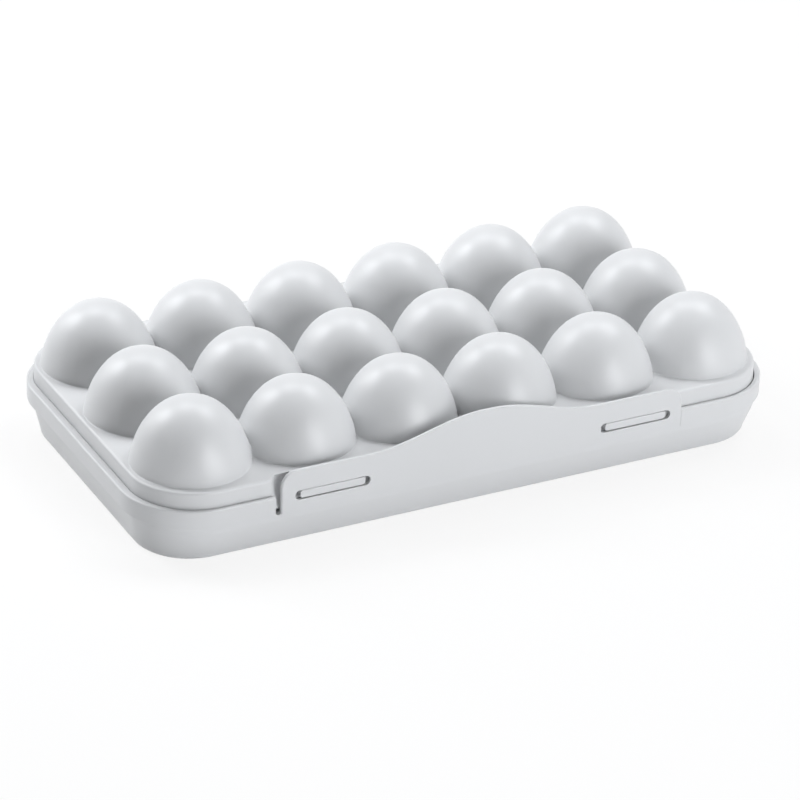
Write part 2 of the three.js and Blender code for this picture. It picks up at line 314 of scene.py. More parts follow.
def cellSheet(outline, profile, sheetZ, shoulder, notch, rayStep, counts=None, crease=None):
    # A sheet with one bowl or dome in each cell of the grid. In every cell straight rays run from the
    # cell's middle to its border or to the sheet's outline, less the notch (its back border's x and y,
    # its right end and the radius of its corners). Heights are the profile's at each distance along
    # them, less the drop of the sheet's rounded edge. Where the profiles of two cells meet, the crease
    # is filled by the square of what is left of its width. Counts are the rays of the other face.
    profileR, profileZ = profile
    half = eggGrid["pitch"] / 2
    middlesX = np.arange(eggGrid["columns"]) * 2 * half - gridHalfLength
    middlesY = np.arange(eggGrid["rows"]) * 2 * half - gridHalfDepth
    backX, backY, notchRight, notchRound = notch
    notchLeft = backX[0]
    parts, walls, used = [], [], []

    def shoulderDrop(x, y):
        # A quarter round along the outline, from the sheet's flat down to its wall
        depth = np.clip(-roundedDistance(x, y, outline), 0, shoulder)
        return shoulder - np.sqrt(shoulder**2 - (shoulder - depth) ** 2) if shoulder else 0 * x

    def region(x, y, inset=0):
        # Where the notch's ends meet the outline, the corner is rounded
        back = np.interp(x, backX, backY)
        inNotch = np.minimum(np.minimum(x - notchLeft, notchRight - x), back - y) + notchRound
        past = roundedDistance(x, y, grow(outline, -inset)) + notchRound
        rounded = np.hypot(np.maximum(past, 0), np.maximum(inNotch, 0))
        return rounded + np.minimum(np.maximum(past, inNotch), 0) - notchRound

    for (row, middleY), (column, middleX) in itertools.product(enumerate(middlesY), enumerate(middlesX)):
        inner = {
            "left": column > 0, "right": column < eggGrid["columns"] - 1,
            "near": row > 0, "far": row < eggGrid["rows"] - 1,
        }

        def cell(x, y, inset):
            # Below zero inside the sheet and on this cell's side of its neighbours
            found = region(x, y, inset)
            for side, past in (
                ("left", middleX - half - x), ("right", x - middleX - half),
                ("near", middleY - half - y), ("far", y - middleY - half),
            ):
                if inner[side]:
                    found = np.maximum(found, past)
            return found

        def edgeX(sign):
            # The cell's side, or the outline's where it is the last cell
            if inner["right" if sign > 0 else "left"]:
                return middleX + sign * half
            return sign * outline[0]

        def edgeY(sign, x):
            if inner["far" if sign > 0 else "near"]:
                return middleY + sign * half
            inside = sign < 0 and notchLeft < x < notchRight
            return np.interp(x, backX, backY) if inside else sign * outline[1]

        # rays that the corners need, and closer ones where the border crosses the rounded edge
        corners = [(edgeX(a), edgeY(b, edgeX(a))) for a in (-1, 1) for b in (-1, 1)]
        depths = quarterRound(shoulder, sheet["cornerSteps"])[1:, 0]
        for a, b in itertools.product((-1, 1), (-1, 1)):
            x, y = edgeX(a), edgeY(b, edgeX(a))
            if inner["right" if a > 0 else "left"] and abs(y) == outline[1]:
                corners += [(x, y - b * depth) for depth in depths]
            if inner["far" if b > 0 else "near"] and abs(x) == outline[0]:
                corners += [(x - a * depth, y) for depth in depths]
        if not inner["near"]:
            for x, away in ((notchLeft, -1), (notchRight, 1)):
                if edgeX(-1) < x < edgeX(1):
                    turned, rest = quarterRound(notchRound, sheet["cornerSteps"]).T
                    corners += [(x, np.interp(x, backX, backY))]
                    corners += list(zip(x + away * turned, -outline[1] + rest))
            for x, y in list(zip(backX, backY))[1:]:
                if edgeX(-1) < x < edgeX(1):
                    corners += [(x, y)]
        turns = np.sort([math.atan2(y - middleY, x - middleX) % (2 * math.pi) for x, y in corners])
        spans = np.diff(np.append(turns, turns[0] + 2 * math.pi))
        if counts is None:
            fill = np.maximum((spans / math.radians(rayStep) + sheet["roundUp"]).astype(int), 1)
        else:
            fill = counts[len(used)]
        used.append(fill)
        angle = np.concatenate([
            start + span * np.arange(steps) / steps for start, span, steps in zip(turns, spans, fill)
        ])
        ray = np.stack([np.cos(angle), np.sin(angle)], -1)

        def reachOf(inset):
            # Distance along each ray to the border, found by halving
            low, high = np.zeros(len(angle)), np.full(len(angle), sheet["searchReach"] * half)
            for _ in range(sheet["halvings"]):
                reach = (low + high) / 2
                out = cell(middleX + reach * ray[:, 0], middleY + reach * ray[:, 1], inset) > 0
                low, high = np.where(out, low, reach), np.where(out, reach, high)
            return low

        reach = reachOf(0)
        distance = np.minimum(profileR[:, None], reach)
        start = distance[-1]
        flatEnd = np.clip(reachOf(shoulder), start, reach)
        across = evenly(0, 1, sheet["rows"])[:, None]
        spread = np.sin(quarter(sheet["edgeSteps"]))[1:, None]
        distance = np.concatenate([
            distance, start + (flatEnd - start) * across, flatEnd + (reach - flatEnd) * spread,
        ])
        x = middleX + distance * ray[:, 0]
        y = middleY + distance * ray[:, 1]
        own = np.interp(distance, profileR, profileZ)
        raised = own
        if crease:
            for stepX, stepY, side in ((-1, 0, "left"), (1, 0, "right"), (0, -1, "near"), (0, 1, "far")):
                if inner[side]:
                    away = np.hypot(x - middleX - 2 * half * stepX, y - middleY - 2 * half * stepY)
                    other = np.interp(away, profileR, profileZ)
                    blend = crease["fillet"] * np.clip(np.minimum(own, other) / crease["fade"], 1e-6, 1)
                    raised = raised + np.maximum(blend - np.abs(own - other), 0) ** 2 / (4 * blend)
        z = sheetZ + raised - shoulderDrop(x, y)
        points = np.stack([x, y, z], -1)
        parts.append((points, gridFaces(*points.shape[:2])))
        onOutline = region(x[-1], y[-1]) > -sheet["onBorder"]
        # in the notch the wall comes forward to the outline, and elsewhere it follows the draft
        upright = roundedDistance(x[-1], y[-1], outline) < -sheet["offOutline"]
        outward = outwardOf(x[-1], y[-1], outline) * np.where(upright, 0, 1)[:, None]
        setBack = np.where(upright, y[-1] + outline[1], 0)
        walls.append((points[-1], outward, setBack, onOutline))
    return parts, walls, used


def wallFaces(rows, columns, kept):
    # Quads of a closed grid whose two columns are both on the outline
    faces = gridFaces(rows, columns)
    first = faces[:, 0] % columns
    return faces[kept[first] & kept[(first + 1) % columns]]


def skirt(outerWalls, innerWalls, bottom, draft):
    # The upright wall below a sheet: down the outside, across its lower edge and up the inside.
    # Each point moves out evenly by the draft, and in the notch forward by the square of the share.
    def down(top, out, setBack, share):
        place = top.copy()
        place[:, :2] += out * draft * share
        place[:, 1] -= setBack * share**2
        place[:, 2] += (bottom - top[:, 2]) * share
        return place

    shares = np.linspace(0, 1, sheet["wallRows"] + 1)
    parts = []
    for (outerTop, outward, outerBack, kept), (innerTop, inward, innerBack, _) in zip(outerWalls, innerWalls):
        rows = [down(outerTop, outward, outerBack, share) for share in shares]
        rows += [down(innerTop, inward, innerBack, share) for share in shares[::-1]]
        points = np.array(rows)
        parts.append((points, wallFaces(*points.shape[:2], kept)))
    return parts


# The lid: domes on a deck, with a wall that drops inside the rim
lid = {
    "wall": 1.6,
    "endMargin": 29.0,
    "sideMargin": 31.0,
    "corner": 29.6,
    "draft": 0.6,
    "deckRise": 7.5,
    "edge": 1.2,
    "hollowEdge": 0.4,
    "domeRadius": 26.3,
    "domeHeight": 29.5,
    "risePower": 1.5,
    "girthPower": 2.27,
    "footFillet": 0.6,
    # where domes meet: the width that is rounded out, and the height over which it fades in
    "crease": {"fillet": 4.5, "fade": 4.0},
    "domeSteps": 24,
    "hollowSteps": 18,
    "filletSteps": 5,
    "rayStep": 5.0,  # degrees
    # the thin deck sags a little between its stiff walls
    "dish": {"depth": 2.3, "flat": 0.4, "reachX": 165.0, "reachY": 84.0, "middleY": -1.0, "softness": 0.1},
    # the lid lies a little to the left in its seat
    "lean": {"by": 0.42, "from": 118.0, "run": 34.0},
    # how far the hollow's pocket points move along the wall, in wall thicknesses
    "pocketWall": (-1, -0.4, 0, 1),
}
lidOutline = (gridHalfLength + lid["endMargin"], gridHalfDepth + lid["sideMargin"], lid["corner"])


def domeProfile(radius, height, fillet, steps):
    # Distance from the axis and height above the deck, as powers of a cosine and of a sine: upright at
    # the foot, where a quarter round of the fillet runs out into the deck, and blunt at the tip
    angle = quarter(steps)[::-1]
    r = radius * np.cos(angle) ** (2 / lid["girthPower"])
    z = height * np.sin(angle) ** (2 / lid["risePower"])
    r[0] = 0
    if fillet:
        foot = radius * (1 - (fillet / height) ** lid["risePower"]) ** (1 / lid["girthPower"])
        turned, rest = quarterRound(fillet, lid["filletSteps"]).T
        r = np.append(r[z > fillet], foot + turned)
        z = np.append(z[z > fillet], rest)
    return r, z


def settled(points):
    # Lowers a point by a cosine bump of its x and y, less a margin, and by nothing below the rim.
    # Its left end lies closer to the rim, run in by a half cosine of x, and evenly up from the skirt's foot.
    dish = lid["dish"]
    x, y, z = points[..., 0], points[..., 1], points[..., 2]
    bump = np.cos(x / dish["reachX"] * math.pi / 2)
    bump = bump * np.cos((y - dish["middleY"]) / dish["reachY"] * math.pi / 2)
    sag = dish["depth"] * bump - dish["flat"]
    sag = (sag + np.hypot(sag, dish["softness"])) / 2
    share = np.clip((z - base["rimHeight"]) / (deckHeight - lid["edge"] - base["rimHeight"]), 0, 1)
    lean = lid["lean"]
    run = np.clip((-x - lean["from"]) / lean["run"], 0, 1)
    rise = np.clip((z - skirtBottom) / (base["rimHeight"] - skirtBottom), 0, 1)
    return np.stack([x - lean["by"] * rise * (1 - np.cos(run * math.pi)) / 2, y, z - sag * share], -1)


def makeLid():
    # An outer sheet of domes, an inner sheet of hollows a wall inside it, and the skirt between the two
    wall = lid["wall"]
    wallTop = grow(lidOutline, gaps["seat"] - lid["draft"])
    recessX = tongueLeft - tongue["recessEndGap"] + np.array(tongue["pocketAt"])
    recessY = rimInsideFront + np.array(tongue["pocketDepth"])
    recessEnd = tongueRight - tongue["recessRightInset"]
    recess = (recessX, recessY, recessEnd, tongue["recessCorner"])
    outerDome = domeProfile(lid["domeRadius"], lid["domeHeight"], lid["footFillet"], lid["domeSteps"])
    outside, outerWalls, counts = cellSheet(
        wallTop, outerDome, deckHeight, lid["edge"], recess, lid["rayStep"], crease=lid["crease"],
    )
    # the hollow keeps the wall's thickness behind the slanted pocket too
    innerX = recessX + wall * np.array(lid["pocketWall"])
    innerRecess = (innerX, recessY + wall, recessEnd + wall, tongue["recessCorner"])
    innerDome = domeProfile(lid["domeRadius"] - wall, lid["domeHeight"] - wall, 0, lid["hollowSteps"])
    inside, innerWalls, _ = cellSheet(
        grow(wallTop, -wall), innerDome, deckHeight - wall, lid["hollowEdge"], innerRecess,
        lid["rayStep"], counts,
    )
    walls = skirt(outerWalls, innerWalls, skirtBottom, lid["draft"])
    return [(settled(points), faces) for points, faces in outside + inside + walls]


# The base: an upright rim band over a tapered body, flush with it along the two long sides
base = {
    "wall": 1.8,
    "rimHeight": 27.7,
    "rimBottom": 18.7,
    "landAtEnds": 3.6,
    "landAtSides": 1.6,
    "rimCorner": 33.2,
    "rimEdge": 0.9,
    "innerEdge": 0.3,
    "lowerEdge": 0.5,
    "endOverhang": 2.9,
    "bodyCorner": 31.0,
    "endTaper": 3.0,
    "sideTaper": 6.7,
    "taperBlend": 3.7,
    "footFillet": 3.0,
    "trayLedge": 4.0,
    "ledgeSlope": 1.4,
    "frontStation": 6.0,
    "sideStation": 9.0,
    "cornerLead": 3.0,  # between the last even station and the corner
    "floorRings": (0, 0.3, 0.6, 0.85),  # shares of the floor's size
    "steps": {
        "slit": 12, "corner": 20, "foot": 6, "wall": 3, "blend": 8, "lowerEdge": 4, "rim": 6,
        "rimEdge": 6, "innerEdge": 3, "inside": 4, "ledge": 5, "innerFoot": 4,
    },
}
rimInside = grow(lidOutline, gaps["seam"])
rimOutline = (rimInside[0] + base["landAtEnds"], rimInside[1] + base["landAtSides"], base["rimCorner"])
bodyTop = (rimOutline[0] - base["endOverhang"], rimOutline[1], base["bodyCorner"])
bodyFoot = (
    bodyTop[0] - base["endTaper"],
    bodyTop[1] - base["sideTaper"],
    bodyTop[2] - (base["endTaper"] + base["sideTaper"]) / 2,
)
front = -rimOutline[1]
rimInsideFront = -rimInside[1]
deckHeight = base["rimHeight"] + lid["deckRise"]


def sideStations(reach, spacing):
    # Even stations along a straight side, the same at every height
    return np.linspace(-reach, reach, int(2 * reach / spacing) + 1)


def gapHeights(x):
    # Height that the tongue's gap leaves of the front wall: the slit's round bottom, then the root
    radius = tongue["slitWidth"] / 2
    middle = tongueLeft - radius
    across = np.clip(np.abs(x - middle), 0, radius)
    slitFloor = base["rimBottom"] + radius - np.sqrt(radius**2 - across**2)
    return np.where(x < tongueLeft, slitFloor, base["rimBottom"])


def makeBase():
    # Rings of rounded rectangles, from the floor's middle up the outside, over the rim and down the
    # inside to the middle again. In the tongue's gap the rim's rings stop at the height it leaves.
    steps = base["steps"]
    nearLength = bodyTop[0] - base["bodyCorner"] - base["cornerLead"]
    nearDepth = rimOutline[1] - base["rimCorner"] - base["cornerLead"]
    slit = tongueLeft - tongue["slitWidth"] / 2 * (1 + np.cos(np.linspace(0, math.pi, steps["slit"] + 1)))
    gapEnd = tongueRight + gaps["hairline"]
    evenX = sideStations(nearLength, base["frontStation"])
    frontX = np.unique(np.round(np.concatenate([evenX, slit, [gapEnd]]), 6))
    # the gap's two upright ends have one station outside the cut and one inside it
    frontX = np.sort(np.append(frontX, [slit.min(), gapEnd]))
    order = np.arange(len(frontX))
    opening = order > np.flatnonzero(frontX == slit.min())[0]
    opening &= order <= np.flatnonzero(frontX == gapEnd)[0]
    opening &= (frontX >= slit.min()) & (frontX <= gapEnd)
    backX = -sideStations(nearLength, base["sideStation"])
    endY = sideStations(nearDepth, base["sideStation"])
    turn = quarter(steps["corner"])

    def ring(outline):
        # Points of a rounded rectangle from the front side round to the left end
        halfLength, halfDepth, corner = outline

        def arc(sideX, sideY, start):
            angle = turn + start
            x = sideX * (halfLength - corner) + corner * np.cos(angle)
            y = sideY * (halfDepth - corner) + corner * np.sin(angle)
            return np.stack([x, y], -1)

        return np.concatenate([
            np.stack([frontX, np.full(len(frontX), -halfDepth)], -1),
            arc(1, -1, -math.pi / 2),
            np.stack([np.full(len(endY), halfLength), endY], -1),
            arc(1, 1, 0),
            np.stack([backX, np.full(len(backX), halfDepth)], -1),
            arc(-1, 1, math.pi / 2),
            np.stack([np.full(len(endY), -halfLength), -endY], -1),
            arc(-1, -1, math.pi),
        ])

    floorZ = base["wall"]
    wallFoot = base["footFillet"]
    rimBottom, rimHeight = base["rimBottom"], base["rimHeight"]
    blendFrom = rimBottom - base["taperBlend"]
    rise = rimBottom - wallFoot
    rows = []

    def add(outline, z):
        points = ring(outline)
        rows.append(np.column_stack([points, np.full(len(points), z)]))

    def cap(outline, z, shares):
        # A flat floor, as rings drawn in to the middle
        points = ring(outline)
        for share in shares:
            rows.append(np.column_stack([points * share, np.full(len(points), z)]))

    def taper(z, inset):
        # The wall leans out evenly, then turns upright in a curve below the rim
        share = (z - wallFoot) / rise
        sizes = [low + (high - low) * share for low, high in zip(bodyFoot, bodyTop)]
        bulge = base["sideTaper"] * base["taperBlend"] / rise / 2
        straight = (z - wallFoot) / (blendFrom - wallFoot)
        curved = 1 - ((z - blendFrom) / base["taperBlend"]) ** 2
        sizes[1] += bulge * (straight if z < blendFrom else curved)
        return grow(sizes, -inset)

    cap(grow(bodyFoot, -wallFoot), 0, base["floorRings"])
    for inset, z in quarterRound(wallFoot, steps["foot"])[::-1]:
        add(grow(bodyFoot, -inset), z)
    for z in (*evenly(wallFoot, blendFrom, steps["wall"]), *evenly(blendFrom, rimBottom, steps["blend"])):
        add(taper(z, 0), z)
    lower = len(rows)
    # the rim's lower edge is rounded only where it overhangs
    ledge, edge = ring(bodyTop), ring(rimOutline)
    width = np.linalg.norm(edge - ledge, axis=1)[:, None]
    radius = base["lowerEdge"] * np.clip(width / (2 * base["lowerEdge"]), 0, 1)
    outward = (edge - ledge) / np.maximum(width, 1e-6)
    for turned, rest in quarterRound(1, steps["lowerEdge"]):
        rows.append(np.hstack([edge - outward * (radius * rest), rimBottom + radius * turned]))
    for z in evenly(rimBottom, rimHeight - base["rimEdge"], steps["rim"]):
        add(rimOutline, z)
    for inset, drop in quarterRound(base["rimEdge"], steps["rimEdge"])[1:]:
        add(grow(rimOutline, -inset), rimHeight - drop)
    for drop, inset in quarterRound(base["innerEdge"], steps["innerEdge"]):
        add(grow(rimInside, inset), rimHeight - drop)
    for z in evenly(rimHeight - base["innerEdge"], rimBottom, steps["inside"]):
        add(rimInside, z)
    upper = len(rows)
    # a slanted ledge under the tray's flange, then the inside of the wall
    for z in np.linspace(rimBottom, blendFrom, steps["ledge"] + 1):
        ledgeLeft = max(base["trayLedge"] - (rimBottom - z) * base["ledgeSlope"], 0)
        add(taper(z, base["wall"] + ledgeLeft), z)
    for inset, z in quarterRound(wallFoot - floorZ, steps["innerFoot"]):
        add(grow(bodyFoot, -base["wall"] - inset), floorZ + z)
    cap(grow(bodyFoot, -wallFoot), floorZ, base["floorRings"][::-1])

    points = np.array(rows)
    cut = np.zeros(points.shape[1], bool)
    cut[:len(frontX)] = opening
    left = gapHeights(points[lower, cut, 0])
    points[lower:upper, cut, 2] = np.minimum(points[lower:upper, cut, 2], left)
    return points, gridFaces(*points.shape[:2])


# The tray: cups in one sheet, whose flange rests on the base's ledge
tray = {
    "wall": 1.5,
    "cupRadius": 21.5,
    "cupPad": 7.0,
    "mouthRound": 0.7,
    "cupSteps": 10,
    "mouthSteps": 4,
    "rayStep": 7.5,  # degrees
    # the flange is cut back behind the tongue's slit
    "relief": {"left": 5.0, "right": 5.0, "depth": 2.5, "corner": 0.8},
}
flangeTop = base["rimBottom"] + gaps["seat"] + tray["wall"]
skirtBottom = flangeTop + gaps["seat"]


def cupProfile(wall, mouth):
    # A flat pad at the bottom, a quarter ellipse up to the cup's mouth, and a quarter round there.
    # The wall is added in full at the mouth and runs out evenly with the ellipse's angle.
    depth = base["rimBottom"] - base["wall"]
    lean = quarter(tray["cupSteps"])[::-1]
    thickness = wall * (1 - lean / (math.pi / 2))
    r = tray["cupPad"] + (tray["cupRadius"] - tray["cupPad"]) * np.cos(lean) + thickness
    z = -depth * np.sin(lean)
    r = np.append([0, tray["cupPad"] / 2], r)
    z = np.append([z[0], z[0]], z)
    if mouth:
        kept = z < -mouth
        turned, rest = quarterRound(mouth, tray["mouthSteps"]).T
        r = np.append(r[kept], r[-1] + turned)
        z = np.append(z[kept], -rest)
    return r, z


def makeTray():
    # A sheet of cups, the same again a wall below it, and a strip between their outlines
    relief = tray["relief"]
    ends = np.array([tongueLeft - tongue["slitWidth"] / 2 - relief["left"], tongueLeft + relief["right"]])
    notch = (ends, np.full(2, rimInsideFront + relief["depth"]), ends[1], relief["corner"])
    topCup, underCup = cupProfile(0, tray["mouthRound"]), cupProfile(tray["wall"], 0)
    top, topWalls, counts = cellSheet(lidOutline, topCup, flangeTop, 0, notch, tray["rayStep"])
    under, underWalls, _ = cellSheet(
        lidOutline, underCup, flangeTop - tray["wall"], 0, notch, tray["rayStep"], counts,
    )
    edges = []
    for (upper, _, _, kept), (lower, _, _, _) in zip(topWalls, underWalls):
        points = np.array([upper, lower])
        edges.append((points, wallFaces(*points.shape[:2], kept)))
    return top + under + edges


# The tongue: a plate that closes the gap in the base's front wall, with rows for a bend just above its root
tongue = {
    "shift": 2.0,
    "halfLength": 99.6,
    "rise": 11.2,
    "corner": 7.8,
    "humpRise": 9.7,
    "humpFlatHalf": 1.6,
    "humpRun": 54.8,
    "frontEdge": 0.55,
    "slitEdge": 1.2,
    "backEdge": 0.9,
    "slitBackEdge": 0.4,
    "seamEdge": 0.1,
    "slotEdge": 0.25,
    "slitWidth": 2.5,
    "slotInset": 6.3,
    "slotShift": 0.4,
    "slotLength": 36.0,
    "slotHeight": 4.5,
    "slotRise": 7.5,
    "recessDepth": 3.0,
    "recessEndGap": 3.2,
    "recessRightInset": 7.0,
    "recessCorner": 0.8,
    # the recess's left end slants back into a deeper pocket: lengths along it and depths
    "pocketAt": (0, 2.5, 9.5, 12.0),
    "pocketDepth": (2.0, 4.3, 4.7, 3.0),
    "bendHeight": 5.0,
    "cutBelow": 3.0,  # the outline starts this far below the root
    "steps": {
        "corner": 14, "side": 29, "foot": 40, "top": 7, "hump": 60, "edge": 5, "slotEnd": 16, "bend": 8,
    },
}
tongueLeft = tongue["shift"] - tongue["halfLength"]
tongueRight = tongue["shift"] + tongue["halfLength"]


def humpHeight(x):
    # A raised cosine either side of the flat middle
    run = np.clip((np.abs(x) - tongue["humpFlatHalf"]) / tongue["humpRun"], 0, 1)
    return tongue["humpRise"] * (1 + np.cos(run * math.pi)) / 2


def insetLoop(loop, by):
    # A closed loop of (x, z) moved inwards along its own normals, by one depth or one for each point
    along = np.roll(loop, -1, 0) - np.roll(loop, 1, 0)
    along /= np.linalg.norm(along, axis=1)[:, None]
    return loop + np.reshape(by, (-1, 1)) * np.stack([-along[:, 1], along[:, 0]], -1)


def edgeRound(loop, frontRadius, backRadius):
    # The edge between a plate's two faces, rounded at both: rings of the loop moved in and back
    steps = tongue["steps"]["edge"]
    fromFront = [(frontRadius, front, 1, *share) for share in quarterRound(1, steps)]
    toBack = [(backRadius, rimInsideFront, -1, *share) for share in quarterRound(1, steps)[::-1]]
    rings = []
    for radius, faceY, side, turned, rest in fromFront + toBack:
        ring = insetLoop(loop, radius * rest)
        y = np.broadcast_to(faceY + side * radius * turned, len(ring))
        rings.append(np.column_stack([ring[:, 0], y, ring[:, 1]]))
    return np.array(rings)


def tongueOutline():
    # A closed loop of (x, z): the foot, an upright side, a rounded corner, the top with its hump, and
    # the same back down. It starts below the root, so that its own rounding is cut away there.
    steps = tongue["steps"]
    top = base["rimHeight"] + tongue["rise"]
    half, corner = tongue["halfLength"], tongue["corner"]
    turn = quarter(steps["corner"])
    humpEnd = tongue["humpFlatHalf"] + tongue["humpRun"]
    shoulder = np.linspace(half - corner, humpEnd, steps["top"] + 1)[1:-1]
    hump = np.linspace(humpEnd, -humpEnd, steps["hump"] + 1)
    crest = np.concatenate([shoulder, hump, -shoulder[::-1]])
    below = base["rimBottom"] - tongue["cutBelow"]
    foot = np.linspace(-half, half, steps["foot"] + 1)[:-1]
    upright = np.linspace(below, top - corner, steps["side"] + 1)
    return np.concatenate([
        np.stack([foot, np.full(len(foot), below)], -1),
        np.stack([np.full(len(upright) - 1, half), upright[:-1]], -1),
        np.stack([half - corner + corner * np.cos(turn), top - corner + corner * np.sin(turn)], -1),
        np.stack([crest, top + humpHeight(crest)], -1),
        np.stack([corner - half - corner * np.sin(turn), top - corner + corner * np.cos(turn)], -1),
        np.stack([np.full(len(upright) - 2, -half), upright[::-1][1:-1]], -1),
    ])


def tongueEdge():
    # The tongue's outline with its edges rounded by radii that change along it
    loop = tongueOutline()
    half, corner = tongue["halfLength"], tongue["corner"]
    # below the rim's top, the right end keeps a crisp edge along its hairline seam
    alongSeam = np.clip((loop[:, 1] - base["rimHeight"]) / tongue["frontEdge"], 0, 1)
    crisp = np.where(loop[:, 0] > half - 1e-6, 1 - alongSeam, 0)
    # the left end, along the slit, is rounder in front and sharper behind than the top
    besideSlit = np.clip((corner - half - loop[:, 0]) / corner, 0, 1)
    frontRadius = tongue["frontEdge"] + (tongue["slitEdge"] - tongue["frontEdge"]) * besideSlit
    backRadius = tongue["backEdge"] + (tongue["slitBackEdge"] - tongue["backEdge"]) * besideSlit
    frontRadius += (tongue["seamEdge"] - frontRadius) * crisp
    backRadius += (tongue["seamEdge"] - backRadius) * crisp
    return edgeRound(loop, frontRadius, backRadius)


def slotPlace():
    # How far the slots' middles are from the tongue's, and their height
    fromMiddle = tongue["halfLength"] - tongue["slotInset"] - tongue["slotLength"] / 2
    return fromMiddle, base["rimBottom"] + tongue["slotRise"]


def slotEdge(side):
    # Two half circles joined by straights, run the other way round so that moving it in widens the slot
    slotMiddle, slotZ = slotPlace()
    radius = tongue["slotHeight"] / 2
    reach = tongue["slotLength"] / 2 - radius
    arc = np.linspace(-math.pi / 2, math.pi / 2, tongue["steps"]["slotEnd"] + 1)
    ends = [
        np.stack([
            side * slotMiddle + tongue["slotShift"] + end * (reach + radius * np.cos(arc)),
            slotZ + end * radius * np.sin(arc),
        ], -1)
        for end in (1, -1)
    ]
    return edgeRound(np.concatenate(ends)[::-1], tongue["slotEdge"], tongue["slotEdge"])


def makeTongue():
    # The rounded edges of the outline and the slots, with a flat face filled between them on each side
    bm = bmesh.new()
    faceEdges = {"front": [], "back": []}
    for rings in (tongueEdge(), slotEdge(-1), slotEdge(1)):
        rings = rings * mm
        rings[..., 0] += tongue["shift"] * mm
        rows, columns = rings.shape[:2]
        verts = [bm.verts.new(point) for point in rings.reshape(-1, 3)]
        for face in gridFaces(rows, columns):
            bm.faces.new([verts[i] for i in face])
        for side, ring in (("front", verts[:columns]), ("back", verts[-columns:])):
            faceEdges[side] += [bm.edges.get(ends) for ends in zip(ring, ring[1:] + ring[:1])]
    for side, facing in (("front", (0, -1, 0)), ("back", (0, 1, 0))):
        bmesh.ops.triangle_fill(bm, edges=faceEdges[side], use_beauty=True, normal=facing)
    # rows for the bend just above the root, and a flat cut at the root itself
    root = base["rimBottom"]
    for height in np.linspace(root, root + tongue["bendHeight"], tongue["steps"]["bend"] + 1):
        bmesh.ops.bisect_plane(
            bm, geom=bm.verts[:] + bm.edges[:] + bm.faces[:],
            plane_co=(0, 0, height * mm), plane_no=(0, 0, 1), clear_inner=height == root,
        )
    bmesh.ops.holes_fill(bm, edges=[edge for edge in bm.edges if edge.is_boundary])
    bmesh.ops.remove_doubles(bm, verts=bm.verts, dist=meshing["tongueWeld"] * mm)
    bmesh.ops.dissolve_degenerate(bm, edges=bm.edges, dist=meshing["tongueWeld"] * mm)
    bmesh.ops.recalc_face_normals(bm, faces=bm.faces)
    mesh = bpy.data.meshes.new("latchTongue")
    bm.to_mesh(mesh)
    bm.free()
    return mesh


# The hinge: pins between ears on the base, and hooks on the lid that turn on them
hinge = {
    "place": 85.0,
    "reach": 3.4,
    "drop": 0.7,
    "hookRadius": 3.1,
    "hookWidth": 14.0,
    "hookMouth": 2.7,
    "armLift": 0.6,
    "pinRadius": 1.6,
    "pinPlay": 0.3,
    "earWidth": 3.0,
    "earGap": 0.5,
    "earDrop": 7.0,
    "earSteps": 24,
    "pinSteps": 32,
    "hookSteps": (19, 13, 27),  # behind, in front and inside
    "earBevel": 0.25,
    "hookBevel": 0.2,
}
hingeY = rimOutline[1] + hinge["reach"]
hingeZ = base["rimHeight"] - hinge["drop"]


def arcPoints(radius, start, end, steps):
    # Points round the hinge's axis as (y, z), between two angles in degrees
    angle = np.radians(np.linspace(start, end, steps + 1))
    return np.stack([hingeY + radius * np.cos(angle), hingeZ + radius * np.sin(angle)], -1)


def makeHingeEars():
    # Ears in pairs, each a half circle round the axis run straight into the wall, and a round pin from
    # the middle of one ear to the middle of the other
    wallY = rimOutline[1] - base["landAtSides"] / 2
    profile = np.concatenate([
        [[wallY, hingeZ - hinge["earDrop"]]],
        arcPoints(hinge["hookRadius"], -90, 90, hinge["earSteps"]),
        [[wallY, base["rimHeight"] - base["rimEdge"]]],
    ])
    pin = arcPoints(hinge["pinRadius"], 0, 360, hinge["pinSteps"])[:-1]
    span = hinge["hookWidth"] / 2 + hinge["earGap"]
    pinEnd = span + hinge["earWidth"] / 2
    solids = []
    for middle in (-hinge["place"], hinge["place"]):
        for end in (-1, 1):
            near, far = middle + end * span, middle + end * (span + hinge["earWidth"])
            solids.append((profile, min(near, far), max(near, far)))
        solids.append((pin, middle - pinEnd, middle + pinEnd))
    return solids


def makeHingeHooks():
    # An arm out of the lid's wall that curls round the pin, with a bore that is open below
    outer, bore = hinge["hookRadius"], hinge["pinRadius"] + hinge["pinPlay"]
    behind, inFront, inside = hinge["hookSteps"]
    armZ = base["rimHeight"] + hinge["armLift"]
    armY = lidOutline[1] - lid["wall"] / 2
    outerMouth = math.degrees(math.asin(hinge["hookMouth"] / 2 / outer))
    boreMouth = math.degrees(math.asin(hinge["hookMouth"] / 2 / bore))
    armTurn = math.degrees(math.asin((armZ - hingeZ) / outer))
    profile = np.concatenate([
        arcPoints(outer, -90 + outerMouth, 90, behind),
        [[armY, hingeZ + outer], [armY, armZ]],
        arcPoints(outer, 180 - armTurn, 270 - outerMouth, inFront),
        arcPoints(bore, 270 - boreMouth, -90 + boreMouth, inside),
    ])
    half = hinge["hookWidth"] / 2
    return [(profile, side * hinge["place"] - half, side * hinge["place"] + half) for side in (-1, 1)]


# The catch: bars on the lid that fill the tongue's slots
catch = {
    "play": 0.4,
    "endPlay": 2.4,
    "setback": 0.3,
    "shift": 0.6,
    "corner": 1.3,
    "edge": 0.4,
    "edgeLead": 1.0,  # a ring this far behind the rounded edge keeps the bar's side flat
    "cornerSteps": 6,
    "edgeSteps": 5,
}


